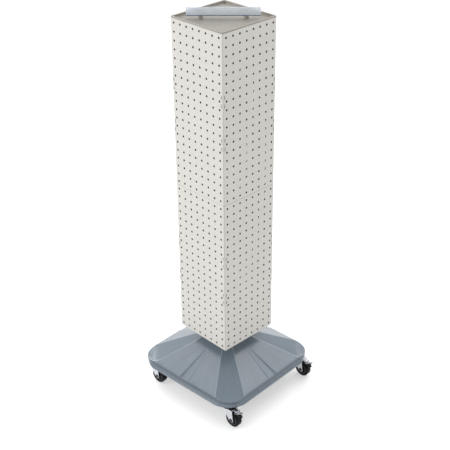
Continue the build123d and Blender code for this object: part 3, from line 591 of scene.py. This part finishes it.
nylon, rubber = black_nylon(), soft_rubber()
dark_steel = plated_steel("oiled_black_steel", (0.085, 0.088, 0.10), 0.3, 0.5, 0.4)
NUT_ACROSS, NUT_FROM, NUT_TO = 11.3, 14.2, 16.7  # mm
wheel_bolt = joined([on_axle(lathe(BOLT, 48)), on_axle(hexagon_nut(NUT_ACROSS, NUT_FROM, NUT_TO))])
brake_x = np.linalg.norm(np.subtract(joints["brake_front"]["pos_m"], joints["swivel_front"]["pos_m"])[:2])
brake_rivet = on_axle(lathe(BRAKE_RIVET, 24), brake_x, joints["brake_front"]["pos_m"][2])
for name in CASTERS:
    node = f"caster_{name}_"
    for shape, end, body, slot, material in (
        (on_axle(lathe(TYRE, 96)), "tyre", "wheel", "tread_rubber", rubber),
        (on_axle(wheel_core()), "core", "wheel", "black_plastic", nylon),
        (joined([wheel_bolt, brake_rivet]), "axle", "swivel", "zinc_steel", dark_steel),
        (lathe(DUST_RING, 72), "cover", "swivel", "black_plastic", nylon),
    ):
        points, faces = at_caster(shape, name)
        piece(f"{name}_caster_{end}", points, faces, f"{body}_{name}", material, [node + end])
    dressed(node + "fork", f"{name}_caster_fork", zinc, 0.7 * mm)
    dressed(node + "stem", f"{name}_caster_stem", zinc, 0.3 * mm)
    dressed(node + "brake_pedal", f"{name}_caster_pedal", zinc, 0.5 * mm)
    dressed(node + "brake_shoe", f"{name}_caster_shoe", rubber, 0.8 * mm)

# ------------------------------------------------------------------ hub post
# A hollow square post of planed softwood inside the base, between the closing board and the shell's hub. It
# takes the tower's load from the turntable down to the board.


def raw_timber():
    """Pale planed softwood: noise drawn out along Z stands for its grain, in colour and in relief."""
    material, shader, tree = finish_of("planed_softwood", (0.55, 0.42, 0.28), 0.7)
    rings = noise(tree, place_socket(tree, "Object", (1, 1, 0.05)), 160, 5, 0.65)
    tree.links.new(blend_colours(tree, rings, (0.42, 0.30, 0.18), (0.62, 0.49, 0.33)),
                   shader.inputs["Base Color"])
    relief(tree, shader, [(rings, 1.0)], 0.0004, 0.5)
    return material


dressed("hub_post", "hub_post_block", raw_timber(), 0.5 * mm)

# ------------------------------------------------------------------ turntable
# Two square pressed plates with race rings, twenty steel balls between them and a hollow rivet through the
# middle. Screws fix the lower plate to the hub and its post, and the upper one to the tower's foot.
for node, name in (
    ("turntable_lower_plate", "turntable_plate_lower"),
    ("turntable_upper_plate", "turntable_plate_upper"),
    ("turntable_rivet", "turntable_centre_rivet"),
    ("turntable_base_screws", "turntable_screws_lower"),
    ("turntable_tower_screws", "turntable_screws_upper"),
):
    dressed(node, name, zinc, 0.3 * mm)
ball_steel = plated_steel("polished_steel", (0.78, 0.78, 0.8), 0.08, 0.16, 0.1)
dressed("turntable_balls", "turntable_ball_ring", ball_steel, 0)

# ------------------------------------------------------------------ tower foot, joiner and clips
# White moulded polystyrene: the tray that closes the tower's lower end on a square pedestal, the sleeve that
# lines the two levels up, and grey nylon clips whose tongues snap through the panels' slots at each corner.


def moulded_white(name, light, dark, roughness):
    """Moulded polystyrene: soft cloudiness, orange-peel skin and a fine spark grain."""
    material, shader, tree = finish_of(name, light, roughness)
    around = place_socket(tree, "Object")
    tree.links.new(blend_colours(tree, noise(tree, around, 14, 4), dark, light), shader.inputs["Base Color"])
    peel, grain = noise(tree, around, 420, 3, 0.55), noise(tree, around, 1500, 2)
    tree.links.new(spread(tree, peel, 0.3, 0.7, roughness - 0.06, roughness + 0.08),
                   shader.inputs["Roughness"])
    relief(tree, shader, [(peel, 0.8), (grain, 0.35)], 0.0004, 0.5)
    return material


foot_white = moulded_white("foot_polystyrene", (0.66, 0.64, 0.60), (0.60, 0.58, 0.54), 0.45)
clip_grey = moulded_white("clip_nylon", (0.30, 0.30, 0.295), (0.24, 0.24, 0.235), 0.5)
dressed("tower_foot", "tower_foot_tray", foot_white, 0.6 * mm)
dressed("joiner_sleeve", "level_joiner", foot_white, 0.4 * mm)
for level in ("lower", "upper"):
    dressed(f"corner_clips_{level}", f"clips_{level}", clip_grey, 0.3 * mm)

# ------------------------------------------------------------------ panels
# Eight injection-moulded pegboard panels of off-white polystyrene, four round each level: 8 by 20 holes on a
# one-inch grid, snap slots near both edges, rounded outer corners mitred to the next panel, ribs behind.
PITCH, COLUMNS, ROWS = 25.4 * mm, 8, 20
PANEL_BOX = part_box("panel_front_lower")
TOWER_HALF, PANEL_H = -PANEL_BOX[0].y, PANEL_BOX[1].z - PANEL_BOX[0].z
PANEL_T, CORNER_R, MITRE_GAP = 3 * mm, 3.5 * mm, 0.2 * mm
HOLE_R, HOLE_FIELD = 3.175 * mm, 4.2 * mm  # a hole, and the half width of the square that it is set in
SLOT_AT, SLOT_HALF_W, SLOT_HALF_H = TOWER_HALF - 6 * mm, 1.4 * mm, 5.5 * mm
SLOT_LEVELS = np.array([-3, -2, 2, 3]) * PITCH
RIB_T, RIB_DEPTH = 2 * mm, 6 * mm
RIB_BITE, RIB_STEP = 0.2 * mm, 0.1 * mm  # into the panel's back, and how much lower the cross ribs are
RIB_X, RIB_Z = 3 * PITCH, 9 * PITCH  # the ribs stand midway between holes
HOLE_STEPS, BACK_TAPER = 16, 0.985  # points round a hole, and its back's share of its front
SHADE_FROM, SHADE_TO = 0.124, 0.142  # of a pitch from a hole's middle: the bore, then a thin rim
GATE_R, GATE_SHARPNESS = 4.2 * mm, 1600  # the ring fades out over one part in that many of a metre


def length_of(tree, a, b):
    """The distance that two sockets make at right angles: the root of the sum of their squares."""
    squares = maths(tree, "ADD", maths(tree, "MULTIPLY", a, a), maths(tree, "MULTIPLY", b, b))
    return maths(tree, "SQRT", squares)


def panel_polystyrene():
    """Off-white with the faint grey of a grained skin: clouds, orange peel, spark grain, a gate mark in the
    middle of each panel as a shallow ring, rubbing near the side edges, and painted shade in the bores and
    on a thin rim round each, by the distance on the face map from the nearest hole's middle."""
    material, shader, tree = finish_of("panel_polystyrene", (0.60, 0.578, 0.535), 0.46)
    around = place_socket(tree, "Object")
    flat = place_socket(tree, "UV")
    split = tree.nodes.new("ShaderNodeSeparateXYZ")
    tree.links.new(flat, split.inputs[0])
    along, up = split.outputs[0], split.outputs[1]
    off_ring = maths(tree, "ABSOLUTE", maths(tree, "SUBTRACT", length_of(tree, along, up), GATE_R))
    off_ring = maths(tree, "MINIMUM", 1.0, maths(tree, "MULTIPLY", off_ring, GATE_SHARPNESS))
    gate = maths(tree, "SUBTRACT", 1.0, off_ring)
    cell_x = maths(tree, "SUBTRACT", maths(tree, "FRACT", maths(tree, "DIVIDE", along, PITCH)), 0.5)
    cell_z = maths(tree, "SUBTRACT", maths(tree, "FRACT", maths(tree, "DIVIDE", up, PITCH)), 0.5)
    # Painted shade: the bores and a thin rim round each hole are darkened in colour.
    shaded = spread(tree, length_of(tree, cell_x, cell_z), SHADE_FROM, SHADE_TO, 0.9, 0.0)
    clouds = noise(tree, around, 7, 4)
    peel = noise(tree, around, 330, 3, 0.6)
    grain = noise(tree, around, 1300, 2, 0.6)
    edge = spread(tree, maths(tree, "ABSOLUTE", along), TOWER_HALF - 6 * mm, TOWER_HALF, 0, 0.12)
    speck = spread(tree, noise(tree, around, 520, 3, 0.75), 0.35, 0.7, 0, 0.30)
    tone = blend_colours(tree, clouds, (0.53, 0.515, 0.478), (0.58, 0.563, 0.522))
    tone = blend_colours(tree, speck, tone, (0.45, 0.435, 0.40))
    tone = blend_colours(tree, shaded, tone, (0.13, 0.125, 0.115))
    tone = blend_colours(tree, edge, tone, (0.52, 0.52, 0.51))
    tone = blend_colours(tree, maths(tree, "MULTIPLY", gate, 0.35), tone, (0.42, 0.41, 0.39))
    tree.links.new(tone, shader.inputs["Base Color"])
    tree.links.new(spread(tree, peel, 0.3, 0.7, 0.38, 0.56), shader.inputs["Roughness"])
    relief(tree, shader, [(peel, 0.8), (grain, 0.5), (gate, -0.6), (clouds, 1.0)], 0.0005, 0.55)
    return material


def box_shape(low, high):
    """A box from its low corner to its high one: eight corners and six quads."""
    steps = np.array([(0, 0, 0), (1, 0, 0), (1, 1, 0), (0, 1, 0), (0, 0, 1), (1, 0, 1), (1, 1, 1), (0, 1, 1)])
    faces = np.array([(3, 2, 1, 0), (4, 5, 6, 7), (0, 1, 5, 4), (1, 2, 6, 5), (2, 3, 7, 6), (3, 0, 4, 7)])
    return np.asarray(low) + steps * (np.asarray(high) - np.asarray(low)), faces


def panel_shape():
    """One panel facing -Y, centred in height. Front and back are the same grid of lines, with the cells of
    the hole squares and slots left out; a ring of faces joins each square to its round hole, where the
    hole's three points nearest a corner of the square all run to that corner; bores, slot walls and the two
    end strips join front to back; the outermost columns run round the corner's arc in front and down the
    mitre behind, and meet there."""
    centres = (np.arange(COLUMNS) - (COLUMNS - 1) / 2) * PITCH
    levels = (np.arange(ROWS) - (ROWS - 1) / 2) * PITCH
    ring = np.array([-1, -0.5, 0, 0.5, 1]) * HOLE_FIELD
    flat_end = TOWER_HALF - CORNER_R
    slot_x = np.array([-SLOT_AT, SLOT_AT])
    x = np.sort(np.concatenate([(centres[:, None] + ring).ravel(), slot_x - SLOT_HALF_W,
                                slot_x + SLOT_HALF_W, [-flat_end, flat_end]]))
    z = np.sort(np.concatenate([(levels[:, None] + ring).ravel(), SLOT_LEVELS - SLOT_HALF_H,
                                SLOT_LEVELS + SLOT_HALF_H, [-PANEL_H / 2, PANEL_H / 2]]))
    a = np.linspace(0, math.pi / 4, 6)[1:]
    arc_x = flat_end + CORNER_R * np.sin(a) - MITRE_GAP * a / a[-1]
    arc = np.stack([arc_x, -flat_end - CORNER_R * np.cos(a)], -1)
    inner = np.array([TOWER_HALF - PANEL_T - MITRE_GAP, -TOWER_HALF + PANEL_T])
    mitre = inner + np.linspace(0, 1, 5)[:, None] * (arc[-1] - inner)
    front = np.concatenate([arc[::-1] * (-1, 1), np.stack([x, np.full_like(x, -TOWER_HALF)], -1), arc])
    middle = np.stack([x, np.full_like(x, -TOWER_HALF + PANEL_T)], -1)
    back = np.concatenate([mitre[::-1] * (-1, 1), middle, mitre])
    nx, nz = len(front), len(z)

    def wall(plan):
        """A plan line repeated at every height."""
        flat = np.broadcast_to(plan[None], (nz, nx, 2))
        return np.concatenate([flat, np.broadcast_to(z[:, None, None], (nz, nx, 1))], -1).reshape(-1, 3)

    cell_x = (front[1:, 0] + front[:-1, 0]) / 2
    cell_z = (z[1:] + z[:-1]) / 2
    in_hole = (np.abs(cell_x[:, None] - centres) < HOLE_FIELD).any(1)[None] & (
        np.abs(cell_z[:, None] - levels) < HOLE_FIELD).any(1)[:, None]
    in_slot = (np.abs(np.abs(cell_x) - SLOT_AT) < SLOT_HALF_W)[None] & (
        np.abs(cell_z[:, None] - SLOT_LEVELS) < SLOT_HALF_H).any(1)[:, None]
    cells = grid(nz, nx).reshape(nz - 1, nx - 1, 4)
    kept = cells[~(in_hole | in_slot)]
    slots = cells[in_slot]
    count = nz * nx
    sides = []
    for this, after in zip(slots.T, np.roll(slots, -1, 1).T):
        sides.append(np.stack([this + count, after + count, after, this], -1))
    i = np.arange(nx - 1)
    low_end = np.stack([i + 1, i, i + count, i + 1 + count], -1)
    top = (nz - 1) * nx
    high_end = np.stack([i, i + 1, i + 1 + count, i + count], -1) + top
    sheet = (np.concatenate([wall(front), wall(back)]),
             np.concatenate([kept, kept[:, ::-1] + count, low_end, high_end] + sides))

    turn = np.arange(HOLE_STEPS) * 2 * np.pi / HOLE_STEPS
    ray = np.stack([np.cos(turn), np.sin(turn)], -1)
    square, circle = np.round(np.clip(ray * 4, -2, 2)) / 2 * HOLE_FIELD, ray * HOLE_R
    loops = np.stack([square, circle, circle * BACK_TAPER, square])
    depth = np.broadcast_to(np.array([0, 0, PANEL_T, PANEL_T])[:, None] - TOWER_HALF, loops.shape[:2])
    one_bore = np.stack([loops[..., 0], depth, loops[..., 1]], -1).reshape(-1, 3)
    spots = np.stack(np.meshgrid(centres, [0.0], levels, indexing="ij"), -1).reshape(-1, 1, 3)
    starts = len(one_bore) * np.arange(len(spots))[:, None, None]
    bore_faces = grid(len(loops), HOLE_STEPS, close_columns=True)[None] + starts
    bores = ((one_bore[None] + spots).reshape(-1, 3), bore_faces.reshape(-1, 4))

    y0, y1 = -TOWER_HALF + PANEL_T - RIB_BITE, -TOWER_HALF + PANEL_T + RIB_DEPTH
    ribs = []
    for at in (-RIB_X, RIB_X):
        ribs.append(box_shape((at - RIB_T / 2, y0, -RIB_Z), (at + RIB_T / 2, y1, RIB_Z)))
    for at in (-RIB_Z, RIB_Z):
        ribs.append(box_shape((-RIB_X, y0, at - RIB_T / 2), (RIB_X, y1 - RIB_STEP, at + RIB_T / 2)))
    return joined([sheet, bores] + ribs)


off_white = panel_polystyrene()
panel_points, panel_faces = panel_shape()
panel_map = panel_points[:, [0, 2]]
for side, quarter in (("front", 0), ("right", 1), ("back", 2), ("left", 3)):
    c, s = round(math.cos(quarter * math.pi / 2)), round(math.sin(quarter * math.pi / 2))
    for level in ("lower", "upper"):
        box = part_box(f"panel_{side}_{level}")
        there = panel_points @ np.array([[c, s, 0], [-s, c, 0], [0, 0, 1]])
        there = there + np.array([0, 0, (box[0].z + box[1].z) / 2])
        pegboard = piece(f"pegboard_{side}_{level}", there, panel_faces, "tower", off_white,
                         [f"panel_{side}_{level}"], uv=panel_map, smooth_angle=35)
        soft_edges(pegboard, 0.35 * mm, 40)

# ------------------------------------------------------------------ top cap
# A taupe-white moulding that closes the tower: a rounded rim on the panels' upper edges, a recessed floor,
# a skirt inside the panels, and two bosses that carry the sign holder.
CAP_TOP, SEAT_GAP, FLOOR_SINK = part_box("top_cap")[1].z, 0.3 * mm, 8 * mm
TOWER_TOP, CAP_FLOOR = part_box("panel_front_upper")[1].z + SEAT_GAP, CAP_TOP - FLOOR_SINK
CAP_RIM, RIM_DRAFT, FLOOR_T, AXIS_GAP = 5, 0.6, 2.5, 0.05  # these two lines in mm, as outlines are
INSERT_OUT, INSERT_IN, INSERT_DEPTH = 3.25, 6.3, 9  # the skirt inside the panels, from the cap's side
CAP_CORNER_R, LEAST_R, BOSS_AT = 3.5 * mm, 0.02 * mm, 62 * mm


def swept_square(outline, half, radius, corner_steps=9):
    """A closed outline of (inset, height) points carried round a square with rounded corners: each point
    runs round a square smaller by its inset, whose corner radius is smaller by as much, down to nothing."""
    a = np.linspace(0, np.pi / 2, corner_steps)
    side = half - outline[:, :1]
    r = np.minimum(np.clip(radius - outline[:, :1], LEAST_R, None), side)
    px, py = side - r + r * np.cos(a), side - r + r * np.sin(a)
    x, y = np.concatenate([px, -py, -px, py], 1), np.concatenate([py, px, -py, -px], 1)
    points = np.stack(np.broadcast_arrays(x, y, outline[:, 1:]), -1)
    return points.reshape(-1, 3), grid(len(outline), 4 * corner_steps, close_rows=True, close_columns=True)


def height_mm(z):
    """A height in the millimetres that outlines are given in."""
    return z / mm


top, rim, ground, mid = height_mm(TOWER_TOP), height_mm(CAP_TOP), height_mm(CAP_FLOOR), height_mm(TOWER_HALF)
CAP_OUTLINE = rounded_outline(
    [(0, top), (0, rim), (CAP_RIM, rim), (CAP_RIM + RIM_DRAFT, ground), (mid - AXIS_GAP, ground),
     (mid - AXIS_GAP, ground - FLOOR_T), (INSERT_IN, ground - FLOOR_T), (INSERT_IN, top - INSERT_DEPTH),
     (INSERT_OUT, top - INSERT_DEPTH), (INSERT_OUT, top)],
    [0.15, 1.3, 1.1, 1.6, 0.01, 0.01, 1.0, 0.4, 0.4, 0.1], 6)
BOSS = rounded_outline([(0.001, ground - 0.5), (6.4, ground - 0.5), (6.0, rim), (0.001, rim)],
                       [0.0005, 0.1, 0.5, 0.0005], 5)
cap_parts = [swept_square(CAP_OUTLINE, TOWER_HALF, CAP_CORNER_R)]
for side in (-1, 1):
    post, post_faces = lathe(BOSS, 40)
    cap_parts.append((post + np.array([side, side, 0]) * BOSS_AT / math.sqrt(2), post_faces))
taupe = moulded_white("cap_polystyrene", (0.30, 0.28, 0.245), (0.26, 0.243, 0.21), 0.42)
cap_points, cap_faces = joined(cap_parts)
piece("tower_cap", cap_points, cap_faces, "tower", taupe, ["top_cap"], smooth_angle=35)

# ------------------------------------------------------------------ sign holder
# A clear extruded acrylic channel, saw-cut at both ends, that stands on the cap's diagonal and takes a card.
# Two pan-head screws through its floor hold it to the cap's bosses.


def clear_acrylic():
    """Clear acrylic with a cool tint, deep blue below the top of its floor by height, and faint extrusion
    lines in the gloss, as noise drawn out along X and Y."""
    material, shader, tree = finish_of("clear_acrylic", (0.88, 0.92, 0.97), 0.12)
    shader.inputs["Transmission Weight"].default_value = 0.6
    split = tree.nodes.new("ShaderNodeSeparateXYZ")
    tree.links.new(place_socket(tree, "Object"), split.inputs[0])
    floor_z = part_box("sign_holder")[0].z
    clear = spread(tree, split.outputs[2], floor_z + 1.6 * mm, floor_z + 2.6 * mm)
    tree.links.new(blend_colours(tree, clear, (0.12, 0.19, 0.33), (0.90, 0.94, 0.98)),
                   shader.inputs["Base Color"])
    shader.inputs["IOR"].default_value = 1.49
    drawn = noise(tree, place_socket(tree, "Object", (0.02, 0.02, 1)), 900, 2)
    tree.links.new(spread(tree, drawn, 0.3, 0.7, 0.08, 0.2), shader.inputs["Roughness"])
    return material


dressed("sign_holder", "sign_channel", clear_acrylic(), 0.3 * mm)
dressed("sign_holder_screws", "sign_channel_screws", zinc, 0.3 * mm)

# ------------------------------------------------------------------ floor, light and camera
# A plain pale floor that glows weakly, a soft sky all round, a key softbox with one more on each side, two
# small edge lights, and a camera about two metres up that looks down by thirty degrees.
FLOOR_HALF = 30.0
floor_mesh = bpy.data.meshes.new("floor")
floor_mesh.from_pydata([(x * FLOOR_HALF, y * FLOOR_HALF, 0) for x, y in ((-1, -1), (1, -1), (1, 1), (-1, 1))],
                       [], [(0, 1, 2, 3)])
floor = bpy.data.objects.new("floor", floor_mesh)
bpy.context.scene.collection.objects.link(floor)
floor_paint, floor_shader, _ = finish_of("pale_floor", (0.56, 0.56, 0.56), 0.9)
floor_shader.inputs["Specular IOR Level"].default_value = 0.1
floor_shader.inputs["Emission Color"].default_value = (1, 1, 1, 1)
floor_shader.inputs["Emission Strength"].default_value = 0.46
floor_mesh.materials.append(floor_paint)

world = bpy.data.worlds.new("soft_sky")
bpy.context.scene.world = world
world.use_nodes = True
sky = world.node_tree.nodes["Background"]
sky.inputs["Color"].default_value = (0.98, 0.99, 1.0, 1)
sky.inputs["Strength"].default_value = 0.9


def softbox(name, centre, target, width, height, watts):
    """A rectangular lamp that looks from its centre at a target."""
    lamp = bpy.data.lights.new(name, "AREA")
    lamp.shape, lamp.size, lamp.size_y, lamp.energy = "RECTANGLE", width, height, watts
    obj = bpy.data.objects.new(name, lamp)
    obj.location = centre
    obj.rotation_euler = (Vector(target) - Vector(centre)).to_track_quat("-Z", "Y").to_euler()
    bpy.context.scene.collection.objects.link(obj)


MIDDLE = (0, 0, 0.6)
softbox("key_softbox", (-1.6, -3.4, 2.6), MIDDLE, 2.2, 2.2, 60)
softbox("left_softbox", (-2.1, -0.35, 2.9), MIDDLE, 2.0, 2.0, 32)
softbox("right_softbox", (0.25, 2.15, 2.9), MIDDLE, 2.0, 2.0, 38)
softbox("left_edge_light", (-2.66, 0.36, 2.08), MIDDLE, 0.6, 0.6, 16)
softbox("right_edge_light", (-0.48, 2.64, 2.08), MIDDLE, 0.6, 0.6, 16)

bpy.context.scene.view_settings.view_transform = "Standard"

CAMERA_AT = Vector((1.909, -1.819, 2.072))
AZIMUTH, ELEVATION, ROLL = math.radians(46.41), math.radians(29.68), math.radians(-0.55)
lens_data = bpy.data.cameras.new("camera")
lens_data.lens, lens_data.sensor_width = 80.0, 36.0
lens_data.clip_end = 100
camera = bpy.data.objects.new("camera", lens_data)
sight = Matrix.Rotation(AZIMUTH, 4, "Z") @ Matrix.Rotation(math.pi / 2 - ELEVATION, 4, "X")
camera.matrix_world = Matrix.Translation(CAMERA_AT) @ sight @ Matrix.Rotation(ROLL, 4, "Z")
bpy.context.scene.collection.objects.link(camera)
bpy.context.scene.camera = camera
